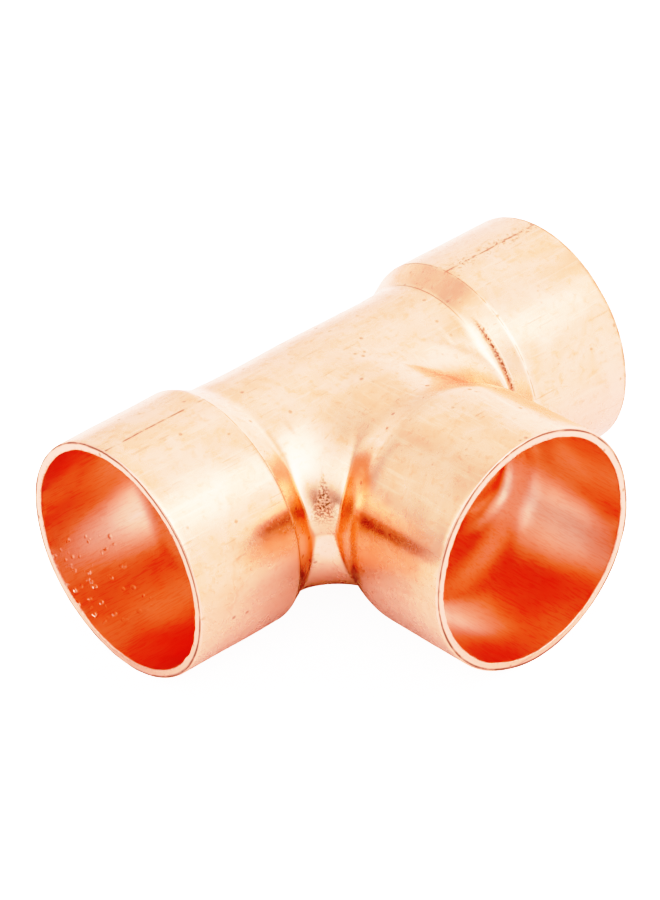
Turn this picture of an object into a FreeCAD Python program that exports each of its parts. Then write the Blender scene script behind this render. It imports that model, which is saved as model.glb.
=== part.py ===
import FreeCAD, Part
import os
import Sketcher

# Equal tee for soldered copper tube, one piece of wrought copper.
# Frame: millimetres, +Z up. X runs along the straight-through run, the branch
# points along -Y, and the origin is where the two centrelines cross.
#
# The outside and the hollow are the same kind of form: two round bars that meet
# in a tee, blended in the crotch, with three stepped ends for the sockets.
# The wall is what is left when the hollow is cut from the outside.

doc = FreeCAD.newDocument("tee_fitting")

# ---------------------------------------------------------------- dimensions
dims = doc.addObject("Spreadsheet::Sheet", "dims")
SIZES = [
    # alias, value in mm, what it is
    ("half_run", 34.3, "crossing of the centrelines to a run mouth"),
    ("branch_reach", 34.3, "crossing of the centrelines to the branch mouth"),
    ("socket_bore", 14.06, "radius of a socket bore, for 28 mm tube with a solder gap"),
    ("socket_wall", 1.12, "wall of a socket"),
    ("waterway", 12.5, "radius of the clear way through the run"),
    ("body_wall", 1.0, "wall of the body between the shoulders"),
    ("neck_step", 0.15, "how much smaller the branch neck's radius is than the body's"),
    ("shoulder_foot", 15.8, "crossing to the small end of a shoulder cone, outside"),
    ("shoulder_head", 19.2, "crossing to the large end of a shoulder cone, outside"),
    ("inner_foot", 16.1, "crossing to the small end of a tube stop cone, inside"),
    ("inner_head", 19.3, "crossing to the large end of a tube stop cone, inside"),
    ("head_blend", 1.2, "blend radius at the large end of a shoulder"),
    ("inner_blend", 0.9, "blend radius at the large end of a tube stop cone"),
    ("crotch_waist", 3.0, "outside blend radius at the waist between a run socket and the branch"),
    ("crotch_crown", 20.0, "outside blend radius on top and underneath, where it has widened"),
    ("rim_round", 0.25, "rounding on the outer edge of a cut mouth"),
    ("rim_break", 0.08, "broken inner edge of a cut mouth"),
    ("overrun", 1.0, "how far the hollow runs past a mouth"),
    ("root_depth", 2.0, "how far an end reaches into its bar, behind the cone's foot"),
    ("root_inset", 0.3, "how far the buried root of an end lies below the bar's surface"),
    ("flare_depth", 3.0, "length of the turned flare, back from the end of the hollow"),
    ("flare_inset", 0.5, "how far the buried root of the flare lies below the socket bore"),
]
for row, (alias, value, meaning) in enumerate(SIZES, start=1):
    dims.set("A%d" % row, meaning)
    dims.set("B%d" % row, str(value))
    dims.setAlias("B%d" % row, alias)
doc.recompute()

MATCH = 2e-3  # how closely an edge has to lie to the place it is picked by, mm
SAMPLE_SHARES = (0.13, 0.37, 0.5, 0.71, 0.93)  # places along an edge that are looked at
LEAST_CROTCH = 10  # least volume the crotch blend changes, mm3
LEAST_ENDS = 3000  # least volume the three ends add to a form, mm3
LEAST_HOLLOW = 20000  # least volume the hollow takes out, mm3


def evaluate(text):
    """The value in mm of a sum of dims.alias terms and numbers, signs set off by spaces."""
    total = 0.0
    for term in text.replace("+ ", "").replace("- ", "-").split():
        sign = -1 if term.startswith("-") else 1
        term = term.lstrip("-")
        amount = getattr(dims, term[5:]) if term.startswith("dims.") else term
        total += sign * float(amount)
    return total


# ------------------------------------------------------------- picking edges
def near(value, target):
    return abs(value - target) < MATCH


def from_run(point):
    """Distance from the run's centreline."""
    return (point.y ** 2 + point.z ** 2) ** 0.5


def from_branch(point):
    """Distance from the branch's centreline."""
    return (point.x ** 2 + point.z ** 2) ** 0.5


def edges_where(feature, test):
    """Names of the edges whose sample points all pass the test."""
    names = []
    for number, edge in enumerate(feature.Shape.Edges, start=1):
        first, last = edge.FirstParameter, edge.LastParameter
        samples = [edge.valueAt(first + share * (last - first)) for share in SAMPLE_SHARES]
        if all(test(point) for point in samples):
            names.append("Edge%d" % number)
    if not names:
        raise RuntimeError("no edge found on " + feature.Name)
    return names


# -------------------------------------------------------------- stepped ends
def profile(body, name, axis, side, corners):
    """A closed outline on the body's XY plane.

    Each corner is a pair of expressions: how far along the axis, towards side
    (1 or -1), and how far out from it. H_Axis is the run, V_Axis the branch.
    """
    sketch = body.newObject("Sketcher::SketchObject", name)
    plane = next(item for item in body.Origin.OriginFeatures if item.Role == "XY_Plane")
    sketch.AttachmentSupport = [(plane, "")]
    sketch.MapMode = "FlatFace"
    doc.recompute()

    # each corner as ((sign, expression) for X, (sign, expression) for Y)
    signed = []
    for along, out in corners:
        pair = ((side, along), (1, out))
        signed.append(pair if axis == "H_Axis" else pair[::-1])
    points = []
    for pair in signed:
        x, y = [sign * evaluate(text) for sign, text in pair]
        points.append(FreeCAD.Vector(x, y, 0))
    count = len(points)
    for i in range(count):
        sketch.addGeometry(Part.LineSegment(points[i], points[(i + 1) % count]), False)
    for i in range(count):
        sketch.addConstraint(Sketcher.Constraint("Coincident", i, 2, (i + 1) % count, 1))

    for i, pair in enumerate(signed):
        for letter, zero_axis, (sign, text) in zip("XY", (-2, -1), pair):
            if text == "0":
                # a corner on an axis is tied to it
                sketch.addConstraint(Sketcher.Constraint("PointOnObject", i, 1, zero_axis))
                continue
            # distances are positive, so their two points swap on the negative side
            ends = (-1, 1, i, 1) if sign > 0 else (i, 1, -1, 1)
            index = sketch.addConstraint(
                Sketcher.Constraint("Distance" + letter, *ends, evaluate(text))
            )
            label = "corner%d_%s" % (i, letter.lower())
            sketch.renameConstraint(index, label)
            sketch.setExpression("Constraints." + label, text)
    doc.recompute()
    return sketch


def turned(body, name, sketch, axis):
    """Turn an outline once around its sketch's axis and add it to the body."""
    feature = body.newObject("PartDesign::Revolution", name)
    feature.Profile = sketch
    feature.ReferenceAxis = (sketch, [axis])
    feature.Angle = 360.0
    doc.recompute()
    return feature


def blend(body, name, base, axis, station, out, radius):
    """Round the circular edge of base at this station along the axis and radius out."""
    station, out = evaluate(station), evaluate(out)

    def on_edge(point):
        if axis == "H_Axis":
            return near(abs(point.x), station) and near(from_run(point), out)
        return near(abs(point.y), station) and near(from_branch(point), out)

    fillet = body.newObject("PartDesign::Fillet", name)
    fillet.Base = (base, edges_where(base, on_edge))
    fillet.setExpression("Radius", radius)
    doc.recompute()
    return fillet


def end_body(name, axis, side, bar, mouth, foot, head, socket, head_blend, rim_round):
    """Cone and socket. The mouth is rounded, or flared where rim_round is None."""
    body = doc.addObject("PartDesign::Body", name)
    sketch = profile(body, name + "_outline", axis, side, [
        (foot + " - dims.root_depth", "0"),
        (foot + " - dims.root_depth", bar + " - dims.root_inset"),
        (foot, bar),
        (head, socket),
        (mouth, socket),
        (mouth, "0"),
    ])
    tip = turned(body, name + "_turned", sketch, axis)
    tip = blend(body, name + "_shoulder", tip, axis, head, socket, head_blend)
    if rim_round:
        tip = blend(body, name + "_rim", tip, axis, mouth, socket, rim_round)
    else:
        # the hollow flares at the mouth, which breaks the inner edge of the wall
        flare = profile(body, name + "_edge_outline", axis, side, [
            (mouth + " - dims.flare_depth", "0"),
            (mouth + " - dims.flare_depth", socket + " - dims.flare_inset"),
            (mouth + " - dims.overrun - dims.rim_break", socket),
            (mouth, socket + " + dims.rim_break + dims.overrun"),
            (mouth, "0"),
        ])
        tip = turned(body, name + "_edge", flare, axis)
    body.Tip = tip
    return body


# ------------------------------------------------------------ bars and crotch
EAST, NORTH, UP = FreeCAD.Vector(1, 0, 0), FreeCAD.Vector(0, 1, 0), FreeCAD.Vector(0, 0, 1)


def half_bar(name, radius, height, across, bulge, along, start=""):
    """Half of a round bar, its flat side through the centreline.

    Its local X, Y and Z lie along across, bulge and along; it bulges towards
    local Y. Start is an expression for the X where it begins.
    """
    bar = doc.addObject("Part::Cylinder", name)
    bar.Angle = 180.0
    bar.Placement = FreeCAD.Placement(FreeCAD.Matrix(
        across.x, bulge.x, along.x, 0,
        across.y, bulge.y, along.y, 0,
        across.z, bulge.z, along.z, 0,
        0, 0, 0, 1,
    ))
    bar.setExpression("Radius", radius)
    bar.setExpression("Height", height)
    if start:
        bar.setExpression("Placement.Base.x", start)
    return bar


def crossed_bars(name, run_bar, branch_bar, run_end, branch_end):
    """Run and branch, in halves so that their joint line has corners at waist and crown."""
    length, start = "2 * (%s)" % run_end, "-(%s)" % run_end
    bars = doc.addObject("Part::MultiFuse", name + "_bars")
    bars.Shapes = [
        half_bar(name + "_run_upper", run_bar, length, NORTH, UP, EAST, start),
        half_bar(name + "_run_lower", run_bar, length, -NORTH, -UP, EAST, start),
        half_bar(name + "_branch_left", branch_bar, branch_end, UP, -EAST, -NORTH),
        half_bar(name + "_branch_right", branch_bar, branch_end, -UP, EAST, -NORTH),
    ]
    bars.Refine = False
    doc.recompute()
    return bars


def blended_crotch(name, bars, run_bar, branch_bar, waist, crown):
    """The crotch: tight at its waist, where z is 0, and widening towards its crown."""
    run_radius, branch_radius = evaluate(run_bar), evaluate(branch_bar)
    tight, wide = evaluate(waist), evaluate(crown)

    def on_both(point):
        return near(from_run(point), run_radius) and near(from_branch(point), branch_radius)

    rounds = []
    for edge_name in edges_where(bars, on_both):
        number = int(edge_name[4:])
        edge = bars.Shape.Edges[number - 1]
        ends = [edge.valueAt(edge.FirstParameter), edge.valueAt(edge.LastParameter)]
        radii = [tight if abs(point.z) < branch_radius / 2 else wide for point in ends]
        rounds.append((number, radii[0], radii[1]))
    if len(rounds) != 4:
        raise RuntimeError(name + ": the crotch should have four edges, found %d" % len(rounds))

    crotch = doc.addObject("Part::Fillet", name + "_crotch")
    crotch.Base = bars
    crotch.Edges = rounds
    doc.recompute()
    change = abs(crotch.Shape.Volume - bars.Shape.Volume)
    if not crotch.Shape.isValid() or change < LEAST_CROTCH:
        raise RuntimeError(name + ": the crotch blend failed")
    return crotch


# ----------------------------------------------------------------- whole form
def tee_form(name, run_bar, waist, crown, past, **end_sizes):
    """A solid tee. Sizes are expressions; past is added to the reach of all three ends."""
    branch_bar = run_bar + " - dims.neck_step"
    run_end = "dims.half_run" + past
    branch_end = "dims.branch_reach" + past
    bars = crossed_bars(name, run_bar, branch_bar, run_end, branch_end)
    crotch = blended_crotch(name, bars, run_bar, branch_bar, waist, crown)

    ends = [
        end_body(name + suffix, axis, side, bar, mouth, **end_sizes)
        for suffix, axis, side, bar, mouth in (
            ("_left_end", "H_Axis", -1, run_bar, run_end),
            ("_right_end", "H_Axis", 1, run_bar, run_end),
            ("_branch_end", "V_Axis", -1, branch_bar, branch_end),
        )
    ]
    doc.recompute()
    form = doc.addObject("Part::MultiFuse", name)
    form.Shapes = [crotch] + ends
    form.Refine = True
    doc.recompute()
    if not form.Shape.Volume > crotch.Shape.Volume + LEAST_ENDS:
        raise RuntimeError(name + ": the ends added nothing")
    return form


outside = tee_form(
    "outside",
    run_bar="dims.waterway + dims.body_wall",
    waist="dims.crotch_waist",
    crown="dims.crotch_crown",
    past="",
    foot="dims.shoulder_foot",
    head="dims.shoulder_head",
    socket="dims.socket_bore + dims.socket_wall",
    head_blend="dims.head_blend",
    rim_round="dims.rim_round",
)
hollow = tee_form(
    "hollow",
    run_bar="dims.waterway",
    waist="dims.crotch_waist + dims.body_wall",
    crown="dims.crotch_crown + dims.body_wall",
    past=" + dims.overrun",
    foot="dims.inner_foot",
    head="dims.inner_head",
    socket="dims.socket_bore",
    head_blend="dims.inner_blend",
    rim_round=None,
)

# ------------------------------------------------------------------ tee body
tee = doc.addObject("Part::Cut", "tee_body")
tee.Base = outside
tee.Tool = hollow
tee.Label = "tee_body"
doc.recompute()

# --------------------------------------------------------- checks and export
for item in doc.Objects:
    if "Invalid" in item.State or "Error" in item.State:
        raise RuntimeError("%s failed: %s" % (item.Name, item.State))
if abs(outside.Shape.Volume - tee.Shape.Volume) < LEAST_HOLLOW:
    raise RuntimeError("the hollow removed too little")
if tee.Shape.isNull() or not tee.Shape.isValid() or len(tee.Shape.Solids) != 1:
    raise RuntimeError("%s has no valid single solid" % tee.Label)

os.makedirs("parts", exist_ok=True)
tee.Shape.exportStep(os.path.join("parts", tee.Label + ".step"))
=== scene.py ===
# A copper pipe tee with three widened sockets, on a sheet of white paper.
# The run lies along X, the branch points along -Y, and Z is up. The tubes' axes cross at the
# origin. The form is worked out in mm and turned into metres when the mesh is made.
import math
from functools import reduce
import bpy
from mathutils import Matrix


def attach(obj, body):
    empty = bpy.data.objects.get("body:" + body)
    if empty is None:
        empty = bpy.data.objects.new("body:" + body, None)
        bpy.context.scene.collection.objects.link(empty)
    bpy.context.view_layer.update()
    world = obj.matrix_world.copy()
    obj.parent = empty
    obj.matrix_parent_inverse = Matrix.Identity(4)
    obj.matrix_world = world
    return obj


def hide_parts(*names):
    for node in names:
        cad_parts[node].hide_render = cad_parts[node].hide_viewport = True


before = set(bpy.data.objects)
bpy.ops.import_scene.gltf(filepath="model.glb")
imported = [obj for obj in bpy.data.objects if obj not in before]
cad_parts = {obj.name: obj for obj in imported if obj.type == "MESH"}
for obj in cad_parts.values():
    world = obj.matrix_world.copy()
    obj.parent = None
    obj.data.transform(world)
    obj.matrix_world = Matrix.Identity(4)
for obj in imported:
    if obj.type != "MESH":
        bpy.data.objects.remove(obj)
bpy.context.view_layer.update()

from types import SimpleNamespace

import bpy
import numpy as np
from mathutils import Matrix

# ------------------------------------------------------------------ the tee's form, in mm
REACH = 34.3          # crossing to each mouth
WALL = 1.0            # of the run and the branch
# run, branch, socket: radii of the plain tubes and of the widened mouths
# foot, head: how far out each cone starts and ends; soft_foot, soft_head: their rounding
# waist, crown: fillet between run and branch at mid height, and the size it tends to higher up
# crease: rounding between the crossing and the ends; ease: extra softness of the branch's cone
OUTER = dict(run=13.5, branch=13.35, socket=15.18, foot=15.8, head=19.2,
             waist=2.9, crown=17.5, soft_foot=0.35, soft_head=0.10, crease=0.22, ease=1.1)
INNER = dict(run=OUTER["run"] - WALL, branch=OUTER["branch"] - WALL, socket=14.06,
             foot=16.1, head=19.3, waist=3.9, crown=18.5,
             soft_foot=1.0, soft_head=0.8, crease=0.9, ease=0.4)
RIM_ROUND = 0.26      # radius of the cut's outer edge
SOCKET_START = 20.8   # station from which the rings are spaced for the straight socket
# the cut face and its broken inner edge: (distance back from the mouth, radius)
CUT_FACE = [(0, 14.72), (0, 14.45), (0, 14.20), (0.03, 14.095), (0.10, 14.065)]

TUBES = ("left", "right", "branch")   # towards -X, +X and -Y
AXES = np.array([[-1.0, 0, 0], [1.0, 0, 0], [0, -1.0, 0]])
BRANCH = 2
OUTSIDE, CUT, INSIDE = 0, 1, 2        # the kinds of skin

ANGLES = 208          # points round each tube
TURN = np.arange(ANGLES) * 2 * math.pi / ANGLES
COS, SIN = np.cos(TURN), np.sin(TURN)
TINY = 1e-9
PLUS_HALF = COS > TINY                # the +Y half of a run tube, the +X half of the branch
MIRROR = (ANGLES // 2 - np.arange(ANGLES)) % ANGLES


def soft_min(a, b, softness):
    overlap = np.maximum(softness - np.abs(a - b), 0) / softness
    return np.minimum(a, b) - overlap * overlap * softness / 4


def soft_max(a, b, softness):
    return -soft_min(-a, -b, softness)


def round_union(a, b, radius):
    """The union of two forms, filled with a round where they meet."""
    in_a, in_b = np.maximum(radius - a, 0), np.maximum(radius - b, 0)
    return np.maximum(radius, np.minimum(a, b)) - np.sqrt(in_a * in_a + in_b * in_b)


def end_radius(station, base, form, ease=0.0):
    """The radius of a stepped end at a distance from the crossing."""
    slope = (form["socket"] - base) / (form["head"] - form["foot"])
    cone = base + slope * (station - form["foot"])
    cone = soft_max(cone, base, form["soft_foot"] + ease)
    return soft_min(cone, form["socket"], form["soft_head"] + ease)


def field(x, y, z, form):
    """Below 0 inside the form and above 0 outside it."""
    from_run = np.sqrt(y * y + z * z)
    from_branch = np.sqrt(x * x + z * z)
    run = from_run - form["run"]
    branch = np.maximum(from_branch - form["branch"], y)
    lift = np.clip(np.abs(z) / form["run"], 0, 1)
    climb = np.arcsin(lift) / (math.pi / 2)
    fillet = (form["waist"] + (form["crown"] - form["waist"]) * climb) * (1 - lift ** 2) + 0.02
    core = round_union(run, branch, fillet)
    ends_from = form["foot"] - 3
    nowhere = 9.0     # well outside, so that the ends count only beyond ends_from
    run_end = from_run - end_radius(np.abs(x), form["run"], form)
    branch_end = from_branch - end_radius(-y, form["branch"], form, form["ease"])
    ends = np.minimum(np.where(np.abs(x) > ends_from, run_end, nowhere),
                      np.where(-y > ends_from, branch_end, nowhere))
    return soft_min(core, ends, form["crease"])


def solve(place, shape, form):
    """The radius of the form's surface along each ray. place turns radii into points."""
    within, beyond = np.full(shape, 5.0), np.full(shape, 26.0)
    for _ in range(44):
        middle = (within + beyond) / 2
        inside = field(*place(middle), form) < 0
        within = np.where(inside, middle, within)
        beyond = np.where(inside, beyond, middle)
    return (within + beyond) / 2


def seam(form):
    """The radius, at each angle of the left tube, of the line where it meets the others.

    It lies in the plane X = 0 on the +Y side, and in the plane X = Y towards the branch.
    """
    def place(radius):
        y = radius * COS
        return np.where(PLUS_HALF, 0.0, y), y, radius * SIN

    return solve(place, ANGLES, form)


def tube_point(tube, along, radius):
    """x, y and z of points on a tube, from their stations and radii."""
    across, up = radius * COS, radius * SIN
    if tube == "left":
        return -along, across, up
    if tube == "right":
        return along, across, up
    return across, -along, up


def skin_rings(form, tube, seam_radius, warped, flat):
    """Stations and radii of one skin: warped rings out from the seam, then the flat ones."""
    if tube == "branch":
        # its +X half meets the right tube, whose seam mirrors the left one's
        seam_radius = np.where(PLUS_HALF, seam_radius[MIRROR], seam_radius)
    start = seam_radius * np.abs(COS)
    if tube != "branch":
        start = np.where(PLUS_HALF, 0.0, start)
    shares = np.linspace(0, 1, warped, endpoint=False) ** 1.15
    rows = [start + (flat[0] - start) * share for share in shares]
    rows += [np.full(ANGLES, station) for station in flat]
    along = np.array(rows)
    radius = solve(lambda guess: tube_point(tube, along, guess), along.shape, form)
    radius[0] = seam_radius
    return along, radius


def stations(start, end, cone_steps, socket_steps):
    return np.concatenate([np.linspace(start, SOCKET_START, cone_steps, endpoint=False),
                           np.linspace(SOCKET_START, end, socket_steps + 1)])


def rim_rings():
    """Stations and radii over the rounded outer edge and across the cut."""
    centre, centre_radius = REACH - RIM_ROUND, OUTER["socket"] - RIM_ROUND
    rim = [(centre + RIM_ROUND * math.sin(angle), centre_radius + RIM_ROUND * math.cos(angle))
           for angle in np.linspace(0, math.pi / 2, 6)[1:]]
    rim += [(REACH - back, radius) for back, radius in CUT_FACE]
    return [np.repeat(np.array(column)[:, None], ANGLES, 1) for column in zip(*rim)]


def tee_rings():
    """Stations, radii (tube, ring, angle) and skin kinds (ring).

    Each tube runs from the outer seam, over the rim, and back inside to the inner seam.
    """
    outer_seam, inner_seam = seam(OUTER), seam(INNER)
    outer_flat = stations(15.0, REACH - RIM_ROUND, cone_steps=25, socket_steps=24)
    inner_flat = stations(15.2, REACH - 0.35, cone_steps=20, socket_steps=20)
    rim_along, rim_radius = rim_rings()
    along, radius = [], []
    for tube in TUBES:
        out_along, out_radius = skin_rings(OUTER, tube, outer_seam, 30, outer_flat)
        in_along, in_radius = skin_rings(INNER, tube, inner_seam, 20, inner_flat)
        along.append(np.concatenate([out_along, rim_along, in_along[::-1]]))
        radius.append(np.concatenate([out_radius, rim_radius, in_radius[::-1]]))
    kind = np.repeat([OUTSIDE, CUT, INSIDE], [len(out_along), len(rim_along), len(in_along)])
    return np.array(along), np.array(radius), kind


# ------------------------------------------------------------------ irregularities, in mm
# layers of smooth noise: (wavelength, seed, height)
HOLLOWS = ((11.0, 5, 0.035), (4.0, 6, 0.008))         # over both skins of the wall
CUT_WAVES = ((9.0, 71, 0.05), (1.3, 72, 0.012))       # of the cut faces, along the tube
LIP_WANDER = ((2.4, 77, 0.055), (0.9, 74, 0.025))     # of the cut's inner edge
BROW_WANDER = ((3.0, 78, 0.035), (1.0, 79, 0.015))    # of the cut's outer edge


def waves(points, length, seed):
    """Smooth noise of about this wavelength, from plane waves in random directions."""
    count = 28
    rng = np.random.default_rng(seed)
    total = np.zeros(len(points))
    for _ in range(count):
        direction = rng.normal(size=3)
        direction /= np.linalg.norm(direction)
        pace = 2 * math.pi / (length * rng.uniform(0.7, 1.5))
        total += np.sin(points @ direction * pace + rng.uniform(0, 2 * math.pi))
    return total / math.sqrt(count) * 0.8


def layered(points, layers):
    return sum(waves(points, length, seed) * height for length, seed, height in layers)


def rise(value, start, length):
    """0 up to start, climbing evenly to 1 over a length."""
    return np.clip((value - start) / length, 0, 1)


def bell(value, centre, width):
    return np.exp(-((value - centre) / width) ** 2)


def outward(points, form):
    """The direction straight out of the form at each point."""
    slopes = []
    for step in np.eye(3) * 1e-3:
        slopes.append(field(*(points + step).T, form) - field(*(points - step).T, form))
    slopes = np.stack(slopes, -1)
    return slopes / np.maximum(np.linalg.norm(slopes, axis=1), 1e-12)[:, None]


def displaced(points, along, kind, tube, turn):
    """The small irregularities of a pressed and cut copper fitting."""
    normal = np.where((kind == INSIDE)[:, None], outward(points, INNER), outward(points, OUTER))
    swell = layered(points, HOLLOWS)
    # the mouths are never quite round
    phase = tube * 2.3 + 0.6
    oval = 0.05 * np.cos(2 * turn + phase) + 0.025 * np.cos(3 * turn + 2.1 * phase)
    swell += rise(along, start=19.0, length=12.0) * oval
    # a die line along the top and underside of the run's sockets, outside only
    away = np.abs(points[:, 1])
    ridge = 0.045 * bell(away, centre=0.0, width=0.33) - 0.02 * bell(away, centre=0.8, width=0.4)
    ridge *= rise(along, start=18.9, length=1.2)
    ridge *= 0.65 + 0.35 * waves(points, length=2.5, seed=23)
    swell += np.where((tube != BRANCH) & (kind == OUTSIDE), ridge, 0.0)
    points = points + normal * swell[:, None]
    # the cut faces: slightly wavy, with a little burr on a ragged inner edge
    axis = AXES[tube]
    from_axis = np.linalg.norm(points - axis * np.sum(points * axis, 1)[:, None], axis=1)
    near_rim = rise(along, start=REACH - 0.7, length=0.7)
    cut = layered(points, CUT_WAVES)
    lip = bell(from_axis, centre=14.12, width=0.13) * rise(along, start=REACH - 0.6, length=0.4)
    burr = np.maximum(waves(points, length=1.1, seed=73) - 0.2, 0) * 0.07 * lip
    teeth = np.maximum(waves(points, length=0.55, seed=75), 0) * 0.09 * lip
    teeth *= np.clip(waves(points, length=16.0, seed=76) * 1.5 + 0.3, 0, 1)
    points = points + axis * (near_rim * (cut - 0.06) + burr + teeth)[:, None]
    points = points + normal * (layered(points, LIP_WANDER) * lip - teeth * 0.8)[:, None]
    # the outer edge of the cut wanders too
    brow = bell(from_axis, centre=14.95, width=0.16) * rise(along, REACH - 0.25, length=0.2)
    return points + normal * (layered(points, BROW_WANDER) * brow)[:, None]


# ------------------------------------------------------------------ the tee's mesh
def welded(number):
    """For each point, the point that stands for it: tubes share their seam rows."""
    same = np.arange(number.size)
    for row in (0, -1):
        left, right, branch = number[:, row]
        behind = COS > -TINY
        same[right[behind]] = left[behind]
        same[branch[~PLUS_HALF]] = left[~PLUS_HALF]
        same[branch[PLUS_HALF]] = same[right[MIRROR[PLUS_HALF]]]
    return same


def tube_quads(number):
    following = np.roll(number, -1, axis=1)
    quads = np.stack([number[:-1], following[:-1], following[1:], number[1:]], -1)
    return quads.reshape(-1, 4)


def facing_out(points, quads):
    """Turn the faces over if the volume they enclose comes out negative."""
    a, b, c, d = (points[quads[:, corner]] for corner in range(4))
    volume = np.sum(np.cross(a, b) * c) + np.sum(np.cross(a, c) * d)
    return quads[:, ::-1] if volume < 0 else quads


def build_tee():
    """One closed mesh: outer skin, three cut rims and inner skin."""
    along, radius, kind = tee_rings()
    number = np.arange(along.size).reshape(along.shape)
    points = np.vstack([np.stack(tube_point(tube, *rings), -1).reshape(-1, 3)
                        for tube, *rings in zip(TUBES, along, radius)])
    left, right, branch = (tube_quads(grid) for grid in number)
    quads = welded(number)[np.vstack([left[:, ::-1], right, branch])]
    used, quads = np.unique(quads.ravel(), return_inverse=True)
    quads = quads.reshape(-1, 4)

    def per_point(values):
        return np.broadcast_to(values, along.shape).ravel()[used]

    tube = per_point(np.arange(len(TUBES))[:, None, None])
    kind, turn, along = per_point(kind[:, None]), per_point(TURN), along.ravel()[used]
    points = displaced(points[used], along, kind, tube, turn)
    quads = facing_out(points, quads)

    mesh = bpy.data.meshes.new("tee_skin")
    mesh.vertices.add(len(points))
    mesh.vertices.foreach_set("co", (points * 0.001).astype(np.float32).ravel())
    mesh.loops.add(len(quads) * 4)
    mesh.polygons.add(len(quads))
    mesh.polygons.foreach_set("loop_start", np.arange(0, len(quads) * 4, 4, dtype=np.int32))
    mesh.polygons.foreach_set("loop_total", np.full(len(quads), 4, dtype=np.int32))
    mesh.loops.foreach_set("vertex_index", quads.astype(np.int32).ravel())
    mesh.update(calc_edges=True)
    mesh.polygons.foreach_set("use_smooth", np.ones(len(quads), dtype=bool))

    # what the material reads, with a painted shadow along the cut's rounded outer edge, and the
    # cut's inner edge
    x, y, z = points.T
    from_axis = np.where(tube == BRANCH, np.hypot(x, z), np.hypot(y, z))
    near_rim = rise(along, start=REACH - 0.45, length=0.15) * (kind != INSIDE)
    attributes = {
        "along": along, "skin": kind, "tube": tube,
        "outer_edge_shadow": near_rim * bell(from_axis, centre=14.96, width=0.075),
        "inner_edge": (along > REACH - 0.3) * bell(from_axis, centre=14.10, width=0.09),
    }
    for name, values in attributes.items():
        layer = mesh.attributes.new(name, "FLOAT", "POINT")
        layer.data.foreach_set("value", values.astype(np.float32))
    tee = bpy.data.objects.new("tee_skin", mesh)
    bpy.context.scene.collection.objects.link(tee)
    return tee


tee = build_tee()
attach(tee, "root")
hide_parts("tee_body")


# ------------------------------------------------------------------ shader nodes
class Nodes:
    """Short names for making nodes in the emptied tree of a material or world."""

    def __init__(self, owner):
        owner.use_nodes = True
        self.tree = owner.node_tree
        self.tree.nodes.clear()

    def add(self, kind, **values):
        node = self.tree.nodes.new("ShaderNode" + kind)
        for key, value in values.items():
            setattr(node, key, value)
        return node

    def put(self, socket, value):
        if isinstance(value, (int, float, tuple)):
            socket.default_value = value
        else:
            self.tree.links.new(value, socket)

    def maths(self, operation, *values, clamp=False):
        node = self.add("Math", operation=operation, use_clamp=clamp)
        for socket, value in zip(node.inputs, values):
            self.put(socket, value)
        return node.outputs[0]

    def chain(self, operation, values):
        return reduce(lambda a, b: self.maths(operation, a, b), values)

    def product(self, *values, strength=None):
        return self.chain("MULTIPLY", values if strength is None else (*values, strength))

    def total(self, *values):
        return self.chain("ADD", values)

    def highest(self, *values):
        return self.chain("MAXIMUM", values)

    def stretch(self, vector, scale):
        node = self.add("VectorMath", operation="MULTIPLY")
        self.put(node.inputs[0], vector)
        self.put(node.inputs[1], scale)
        return node.outputs[0]

    def attribute(self, name):
        return self.add("Attribute", attribute_name=name).outputs["Fac"]

    def camera_ray(self):
        return self.add("LightPath").outputs["Is Camera Ray"]

    def noise(self, vector, scale, detail, rough=0.5, distort=0.0):
        node = self.add("TexNoise")
        self.put(node.inputs["Vector"], vector)
        self.put(node.inputs["Scale"], scale)
        self.put(node.inputs["Detail"], detail)
        self.put(node.inputs["Roughness"], rough)
        self.put(node.inputs["Distortion"], distort)
        return node.outputs["Fac"]

    def cells(self, vector, scale):
        """The distance to the nearest of scattered points."""
        node = self.add("TexVoronoi")
        self.put(node.inputs["Vector"], vector)
        self.put(node.inputs["Scale"], scale)
        return node.outputs["Distance"]

    def ramp(self, value, stops):
        node = self.add("ValToRGB")
        elements = node.color_ramp.elements
        while len(elements) < len(stops):
            elements.new(0.5)
        for element, (position, colour) in zip(elements, stops):
            element.position = position
            element.color = (*colour, 1.0)
        self.put(node.inputs[0], value)
        return node.outputs[0]

    def fade(self, value, start, end, first=0.0, last=1.0, smooth=True):
        """first where value is at start, last where it is at end, held beyond both."""
        node = self.add("MapRange", clamp=True)
        node.interpolation_type = "SMOOTHSTEP" if smooth else "LINEAR"
        self.put(node.inputs["Value"], value)
        self.put(node.inputs["From Min"], start)
        self.put(node.inputs["From Max"], end)
        self.put(node.inputs["To Min"], first)
        self.put(node.inputs["To Max"], last)
        return node.outputs[0]

    def line(self, value, centre, width):
        """1 where value is at centre, falling to 0 a width away."""
        off = self.maths("ABSOLUTE", self.maths("SUBTRACT", value, centre))
        return self.maths("SUBTRACT", 1.0, self.maths("DIVIDE", off, width), clamp=True)

    def blend(self, base, to, amount):
        node = self.add("Mix", data_type="RGBA")
        self.put(node.inputs[0], amount)
        self.put(node.inputs[6], base)
        self.put(node.inputs[7], (*to, 1.0) if isinstance(to, tuple) else to)
        return node.outputs[2]


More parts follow.
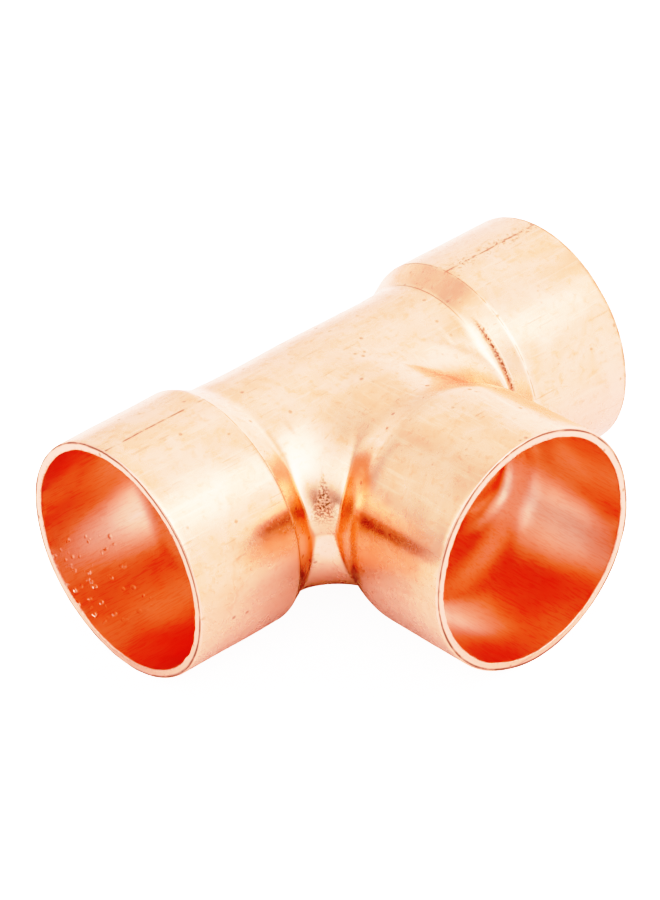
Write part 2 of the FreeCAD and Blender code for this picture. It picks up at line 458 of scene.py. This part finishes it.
# ------------------------------------------------------------------ copper
def surface_fields(net):
    """Place (in mm), masks and shared noise over the tee."""
    at = SimpleNamespace()
    at.where = net.stretch(net.add("TexCoord").outputs["Object"], scale=(1000.0,) * 3)
    apart = net.add("SeparateXYZ")
    net.put(apart.inputs[0], at.where)
    at.x, at.y, at.z = apart.outputs
    kind = net.attribute("skin")
    at.along = net.attribute("along")
    tube = net.attribute("tube")
    at.inside = net.fade(kind, start=1.2, end=1.9)
    at.outside = net.fade(kind, start=0.9, end=0.3)
    at.rim = net.product(net.fade(kind, start=0.3, end=0.9), net.fade(kind, start=1.9, end=1.3))
    at.branch = net.maths("GREATER_THAN", tube, 1.5)
    at.right = net.product(net.maths("GREATER_THAN", tube, 0.5),
                           net.maths("LESS_THAN", tube, 1.5))
    # drawing streaks: space squeezed along each tube's own axis
    at.drawn = net.blend(net.stretch(at.where, scale=(0.10, 1.0, 1.0)),
                         to=net.stretch(at.where, scale=(1.0, 0.10, 1.0)), amount=at.branch)
    at.patches = net.noise(at.where, scale=0.16, detail=5.0, rough=0.55, distort=0.8)
    at.fine = net.noise(at.where, scale=0.9, detail=5.0, rough=0.62, distort=0.5)
    at.grit = net.noise(at.where, scale=2.2, detail=4.0, rough=0.7)
    at.coarse = net.noise(at.where, scale=0.45, detail=3.0, rough=0.6)
    return at


def by_side(net, at, outer, inner):
    """One value on the outer skin and another on the inner."""
    return net.fade(at.inside, start=0.0, end=1.0, first=outer, last=inner)


def clean_colour(net, at):
    """The metal's colour before any marks."""
    streak = net.noise(at.drawn, scale=1.5, detail=4.0, rough=0.6)
    outer = net.ramp(at.patches, [(0.28, (0.95, 0.46, 0.325)), (0.50, (0.96, 0.515, 0.38)),
                                  (0.70, (0.97, 0.56, 0.43))])
    outer = net.blend(outer, to=(0.90, 0.38, 0.25),
                      amount=net.fade(at.fine, start=0.48, end=0.74, last=0.60))
    outer = net.blend(outer, to=(0.97, 0.60, 0.45),
                      amount=net.fade(streak, start=0.50, end=0.70, last=0.50))
    inner = net.ramp(at.patches, [(0.30, (0.95, 0.605, 0.505)), (0.70, (0.96, 0.64, 0.55))])
    inner = net.blend(inner, to=(0.97, 0.70, 0.60),
                      amount=net.fade(streak, start=0.5, end=0.72, last=0.4))
    # painted reflection: paler and pinker on the lower sides, which face the floor
    low = net.product(net.fade(at.z, start=4.5, end=-3.5), strength=0.55)
    outer = net.blend(outer, to=(0.96, 0.56, 0.47), amount=low)
    # a warmer patch on top of the right tube's cone
    warm = net.product(
        net.fade(at.along, start=15.9, end=16.6), net.fade(at.along, start=19.3, end=18.9),
        at.right,
        net.product(net.fade(at.z, start=11.0, end=12.8),
                    net.fade(at.patches, start=0.35, end=0.60, first=0.5)),
        strength=0.55)
    outer = net.blend(outer, to=(0.92, 0.38, 0.27), amount=warm)
    # paler beside the waists, to offset how much two facing walls redden each other
    nook = net.product(
        net.fade(at.along, start=14.8, end=15.8), net.fade(at.along, start=20.2, end=19.0),
        net.product(net.fade(at.z, start=9.5, end=7.5), net.fade(at.y, start=-9.5, end=-11.5)),
        strength=0.60)
    outer = net.blend(outer, to=(0.96, 0.60, 0.47), amount=nook)
    # the sizing plug's fine lines along each bore
    plug = net.fade(net.noise(at.drawn, scale=5.5, detail=2.0), start=0.52, end=0.62)
    inner = net.blend(inner, to=(0.86, 0.44, 0.33), amount=net.product(plug, strength=0.30))
    colour = net.blend(outer, to=inner, amount=at.inside)
    return net.blend(colour, to=(0.97, 0.54, 0.44), amount=net.product(at.rim, strength=0.9))


def handling_marks(net, at):
    """Thin broken scratches in three directions, and small pits."""
    layers = []
    # each layer's turn about Z, and the noise level above which a scratch shows
    for k, (turn, cut) in enumerate(((0.35, 0.685), (-0.55, 0.70), (1.25, 0.70))):
        mapping = net.add("Mapping")
        net.put(mapping.inputs["Vector"], at.where)
        mapping.inputs["Location"].default_value = (3.7 * k, 11.1 * k, 5.3 * k)
        mapping.inputs["Rotation"].default_value = (0.4 * k, 0.3, turn)
        mapping.inputs["Scale"].default_value = (0.10, 2.6, 2.6)
        fibres = net.noise(mapping.outputs[0], scale=1.0, detail=1.5)
        gaps = net.noise(at.where, scale=0.35 + 0.1 * k, detail=2.0)
        layers.append(net.product(net.fade(fibres, start=cut, end=cut + 0.02),
                                  net.fade(gaps, start=0.48, end=0.60)))
    pits = net.product(
        net.fade(net.cells(at.where, scale=0.55), start=0.20, end=0.08),
        net.fade(net.noise(at.where, scale=0.5, detail=1.0), start=0.52, end=0.60))
    marks = net.highest(net.product(net.highest(*layers), strength=0.24),
                        net.product(pits, strength=0.45))
    return net.product(marks, by_side(net, at, outer=1.0, inner=0.06))


def die_lines(net, at):
    """Dark lines on the outside: along the top, and round the ends of the cones."""
    top = net.product(
        net.line(at.y, centre=0.0, width=0.22), net.fade(at.z, start=13.0, end=14.6),
        net.fade(at.along, start=18.6, end=19.3), net.fade(at.coarse, start=0.36, end=0.58))
    scuffs = net.product(
        net.line(at.y, centre=0.0, width=1.7),
        net.product(net.fade(at.z, start=13.0, end=14.6), at.right),
        net.product(net.fade(at.grit, start=0.53, end=0.62),
                    net.fade(at.along, start=18.9, end=19.4)))
    # fainter round the branch
    head = net.product(
        net.line(at.along, centre=OUTER["head"], width=0.11),
        net.fade(at.coarse, start=0.34, end=0.50),
        net.maths("SUBTRACT", 1.0, net.product(at.branch, strength=0.75)))
    foot = net.product(net.line(at.along, centre=15.95, width=0.12), at.right,
                       net.fade(at.z, start=11.5, end=13.0))
    lines = net.highest(
        net.highest(net.product(top, strength=0.8), net.product(scuffs, strength=0.7)),
        net.highest(net.product(head, strength=0.62), net.product(foot, strength=0.6)))
    # a line just short of the right mouth
    mouth = net.product(net.line(at.along, centre=33.95, width=0.16), at.right,
                        net.fade(at.coarse, start=0.38, end=0.55), strength=0.6)
    return net.product(net.highest(lines, mouth), at.outside)


def stretched_metal(net, at):
    """Where orange peel shows: in the waists, and in a streak on the right tube's cone."""
    # how far off the waist's middle line, where |X| = -Y
    off = net.maths("ABSOLUTE", net.maths("SUBTRACT", net.maths("ABSOLUTE", at.x),
                                          net.maths("MULTIPLY", at.y, -1.0)))
    width = net.fade(at.z, start=7.6, end=3.2, first=0.25, last=1.9, smooth=False)
    waists = net.product(
        net.fade(net.maths("DIVIDE", off, width), start=1.5, end=0.5),
        net.product(net.fade(at.z, start=9.0, end=5.2), net.fade(at.z, start=0.8, end=4.2)),
        net.fade(at.y, start=-10.0, end=-11.5))
    streak = net.product(
        net.line(at.along, centre=17.0, width=0.42), at.right,
        net.product(net.fade(at.y, start=-5.8, end=-8.6),
                    net.fade(at.y, start=-13.9, end=-12.9)),
        net.fade(at.z, start=2.0, end=5.0))
    return net.product(net.highest(waists, streak), at.outside)


def painted_socket_reflection(net, at):
    """Painted reflection: a brown band on the socket walls that face the left waist, where a
    dark reflection lies.
    """
    level = net.maths("ABSOLUTE", net.maths("SUBTRACT", at.z, 5.5))
    band = net.fade(level, start=1.15, end=0.25)
    left = net.product(
        net.fade(at.x, start=-25.8, end=-22.5), net.fade(at.x, start=-18.2, end=-19.6),
        net.fade(at.y, start=-9.0, end=-11.0))
    branch = net.product(
        net.fade(at.y, start=-35.0, end=-29.0), net.fade(at.y, start=-18.6, end=-20.0),
        net.fade(at.x, start=-9.0, end=-11.0))
    return net.product(band, net.highest(left, branch), at.outside,
                       net.fade(at.grit, start=0.35, end=0.60, first=0.65), strength=0.72)


def sheen(net, at, marks, stretched):
    blotches = net.product(net.fade(at.fine, start=0.45, end=0.75, last=0.07),
                           by_side(net, at, outer=1.0, inner=0.2))
    return net.total(
        net.fade(at.patches, start=0.3, end=0.7, first=0.22, last=0.29), blotches,
        net.product(at.rim, strength=0.16), net.product(at.inside, strength=0.07),
        net.product(marks, strength=0.25), net.product(stretched, strength=0.12))


def relief(net, at, marks, stretched, peel):
    height = net.product(net.noise(at.where, scale=1.6, detail=5.0, rough=0.6),
                         by_side(net, at, outer=0.35, inner=0.12))
    streaks = net.noise(at.drawn, scale=2.6, detail=3.0, rough=0.6)
    height = net.total(height, net.product(streaks, strength=0.26))
    height = net.product(height, by_side(net, at, outer=1.0, inner=0.45))
    height = net.maths("SUBTRACT", height, net.product(marks, strength=0.35))
    # small beads on the left socket's bore, low on its +Y side
    beads = net.product(
        net.fade(net.cells(at.where, scale=1.0), start=0.42, end=0.12),
        net.fade(net.noise(at.where, scale=0.7, detail=2.0), start=0.46, end=0.56),
        net.product(at.inside, net.fade(at.x, start=-25.0, end=-27.0)),
        net.product(net.fade(at.y, start=4.5, end=7.0), net.fade(at.z, start=-3.8, end=-5.6)),
        strength=5.0)
    height = net.total(height, net.product(peel, stretched, strength=5.0), beads)
    bump = net.add("Bump")
    net.put(bump.inputs["Strength"], 1.0)
    net.put(bump.inputs["Distance"], 0.000015)
    net.put(bump.inputs["Height"], height)
    return bump.outputs[0]


def copper_material():
    material = bpy.data.materials.new("copper")
    net = Nodes(material)
    at = surface_fields(net)
    colour = clean_colour(net, at)
    stretched = stretched_metal(net, at)
    peel = net.noise(at.where, scale=3.6, detail=4.0, rough=0.7)
    speckle = net.fade(peel, start=0.42, end=0.58)
    # orange peel coloured near black: the peel is the stretched metal's own, and its darkness is
    # partly a painted reflection in the crotch
    peel_and_reflection = net.product(stretched, net.maths(
        "ADD", net.product(at.right, strength=0.30), net.product(speckle, strength=0.85),
        clamp=True))
    # painted shadow: a broken dark line where the cut face meets its rounded outer edge
    edge = net.product(net.attribute("outer_edge_shadow"),
                       net.fade(at.coarse, start=0.30, end=0.55, first=0.45, last=0.95))
    inner_edge = net.product(net.attribute("inner_edge"),
                             net.fade(at.grit, start=0.45, end=0.62, first=0.05, last=0.45))
    # scratches, pits, die lines and the inner edge, with the painted shadow along the outer edge
    marks = net.highest(handling_marks(net, at), die_lines(net, at),
                        net.product(edge, strength=0.85), inner_edge)
    colour = net.blend(colour, to=(0.30, 0.13, 0.085), amount=marks)
    # partly painted reflection: the dark peel in the waists and on the right cone
    colour = net.blend(colour, to=(0.17, 0.075, 0.05), amount=peel_and_reflection)
    # the painted shadow along the outer edge, darkened further
    colour = net.blend(colour, to=(0.16, 0.09, 0.07), amount=net.product(edge, strength=0.75))
    # painted reflection: the brown band on the sockets beside the left waist
    colour = net.blend(colour, to=(0.52, 0.235, 0.195), amount=painted_socket_reflection(net, at))

    metal = net.add("BsdfPrincipled")
    net.put(metal.inputs["Base Color"], colour)
    net.put(metal.inputs["Metallic"], 1.0)
    net.put(metal.inputs["Roughness"], sheen(net, at, marks, stretched))
    net.put(metal.inputs["Normal"], relief(net, at, marks, stretched, peel))
    net.put(net.add("OutputMaterial").inputs[0], metal.outputs[0])
    return material


tee.data.materials.append(copper_material())


# ------------------------------------------------------------------ floor, in metres
FLOOR_Z = -0.01519
FLOOR_HALF = 1.6


def floor_material():
    """White paper that also glows, for the camera alone, as on a lit table."""
    material = bpy.data.materials.new("floor_paper")
    net = Nodes(material)
    paper = net.add("BsdfDiffuse")
    net.put(paper.inputs["Color"], (0.92, 0.92, 0.92, 1))
    glow = net.add("Emission")
    net.put(glow.inputs["Color"], (1, 1, 1, 1))
    net.put(glow.inputs["Strength"], net.product(net.camera_ray(), strength=1.3))
    both = net.add("AddShader")
    net.put(both.inputs[0], paper.outputs[0])
    net.put(both.inputs[1], glow.outputs[0])
    net.put(net.add("OutputMaterial").inputs[0], both.outputs[0])
    return material


def build_floor():
    mesh = bpy.data.meshes.new("floor")
    corners = [(x * FLOOR_HALF, y * FLOOR_HALF, FLOOR_Z)
               for x, y in ((-1, -1), (1, -1), (1, 1), (-1, 1))]
    mesh.from_pydata(corners, [], [(0, 1, 2, 3)])
    floor = bpy.data.objects.new("floor", mesh)
    floor.data.materials.append(floor_material())
    bpy.context.scene.collection.objects.link(floor)


build_floor()

# ------------------------------------------------------------------ tone curve
# a contrasty print: the darkest tones pulled down, the brightest rolled off
WHITE = 2.4   # the level that prints as 1
# (scene level, printed level) between black and WHITE
TONES = [(0.08, 0.001), (0.15, 0.012), (0.216, 0.078), (0.241, 0.107), (0.33, 0.212),
         (0.555, 0.477), (0.723, 0.674), (1.06, 0.86), (1.41, 0.955), (1.8, 0.985)]


def set_tones(view):
    view.view_transform = "Standard"
    view.look = "None"
    view.exposure = 0.0
    view.gamma = 1.0
    view.use_curve_mapping = True
    curves = view.curve_mapping
    curves.white_level = (WHITE,) * 3
    curves.black_level = (0.0, 0.0, 0.0)
    points = curves.curves[3].points
    for level, printed in TONES:
        points.new(level / WHITE, printed)
    points[0].location = (0.0, 0.0)
    points[-1].location = (1.0, 1.0)
    for point in points:
        point.handle_type = "AUTO_CLAMPED"
    curves.update()


scene = bpy.context.scene
set_tones(scene.view_settings)
scene.cycles.max_bounces = 16
scene.cycles.glossy_bounces = 12

# ------------------------------------------------------------------ studio light
# soft light from all round in broad patches: (direction x, y, z, level)
GLOW = [
    (0.052, -0.133, 0.99, 1.606), (-0.22, 0.109, 0.969, 0.205), (0.303, 0.088, 0.949, 0.851),
    (-0.193, -0.317, 0.929, 0.8), (-0.081, 0.41, 0.908, 0.111), (0.371, -0.272, 0.888, 0.393),
    (-0.495, -0.054, 0.867, 0.759), (0.351, 0.399, 0.847, 0.831), (0.012, -0.562, 0.827, 2.578),
    (-0.408, 0.428, 0.806, 1.076), (0.617, -0.041, 0.786, 0.583), (-0.502, -0.402, 0.766, 1.208),
    (0.103, 0.659, 0.745, 1.153), (0.382, -0.574, 0.725, 2.765), (-0.689, 0.17, 0.704, 1.731),
    (0.64, 0.35, 0.684, 0.788), (-0.242, -0.708, 0.664, 0.458), (-0.307, 0.702, 0.643, 0.294),
    (-0.756, -0.255, 0.602, 0.969), (0.393, 0.712, 0.582, 0.443), (0.194, -0.804, 0.562, 1.875),
    (-0.698, 0.469, 0.541, 1.084), (0.844, 0.127, 0.521, 1.334), (-0.544, -0.673, 0.501, 0.277),
    (-0.054, 0.875, 0.48, 0.373), (0.639, -0.616, 0.46, 0.234), (-0.898, 0.023, 0.439, 1.125),
    (0.685, 0.596, 0.419, 0.745), (-0.103, -0.911, 0.399, 0.627), (0.915, -0.186, 0.358, 1.259),
    (-0.807, -0.485, 0.337, 0.176), (0.27, 0.909, 0.317, 0.385), (-0.894, 0.353, 0.276, 1.631),
    (0.903, 0.346, 0.256, 0.854), (-0.268, 0.939, 0.215, 1.214), (0.836, -0.513, 0.195, 1.383),
    (-0.967, -0.187, 0.174, 0.106), (0.589, 0.794, 0.154, 0.988), (0.102, -0.986, 0.134, 1.866),
    (0.996, 0.016, 0.093, 0.988), (-0.725, -0.685, 0.073, 0.275), (0.072, 0.996, 0.052, 1.611),
    (0.621, -0.784, 0.032, 1.638), (0.835, 0.55, -0.009, 1.402), (-0.244, -0.969, -0.029, 1.175),
    (-0.474, 0.879, -0.05, 0.253),
]
SHARPNESS = 18.0   # how fast a patch falls off


def studio():
    world = bpy.data.worlds.new("studio")
    net = Nodes(world)
    direction = net.add("TexCoord").outputs["Generated"]
    total = None
    for *centre, level in GLOW:
        dot = net.add("VectorMath", operation="DOT_PRODUCT")
        net.put(dot.inputs[0], direction)
        net.put(dot.inputs[1], tuple(centre))
        power = net.maths("MULTIPLY_ADD", dot.outputs["Value"], SHARPNESS, -SHARPNESS)
        patch = net.maths("EXPONENT", power)
        if total is None:
            total = net.product(patch, level)
        else:
            total = net.maths("MULTIPLY_ADD", patch, level, total)
    # the camera itself sees plain white
    strength = net.add("Mix", data_type="FLOAT")
    net.put(strength.inputs[0], net.camera_ray())
    net.put(strength.inputs[2], total)
    net.put(strength.inputs[3], WHITE)
    background = net.add("Background")
    net.put(background.inputs["Strength"], strength.outputs[0])
    net.put(net.add("OutputWorld").inputs[0], background.outputs[0])
    return world


scene.world = studio()
scene.world.cycles.sampling_method = "NONE"

# ------------------------------------------------------------------ camera, in metres
CAMERA_PLACE = (-0.27375, -0.33686, 0.28094)
# the directions of its right, up and back
CAMERA_AXES = (
    (0.7457025, -0.6625335, -0.0705489),
    (0.4070266, 0.3691547, 0.8354964),
    (-0.5275009, -0.6517470, 0.5449483),
)


def build_camera():
    lens = bpy.data.cameras.new("camera")
    lens.sensor_fit = "AUTO"
    lens.sensor_width = 36.0
    lens.lens = 172.002
    lens.clip_start = 0.01
    lens.clip_end = 10.0
    camera = bpy.data.objects.new("camera", lens)
    scene.collection.objects.link(camera)
    matrix = Matrix(CAMERA_AXES).transposed().to_4x4()
    matrix.translation = CAMERA_PLACE
    camera.matrix_world = matrix
    scene.camera = camera


build_camera()
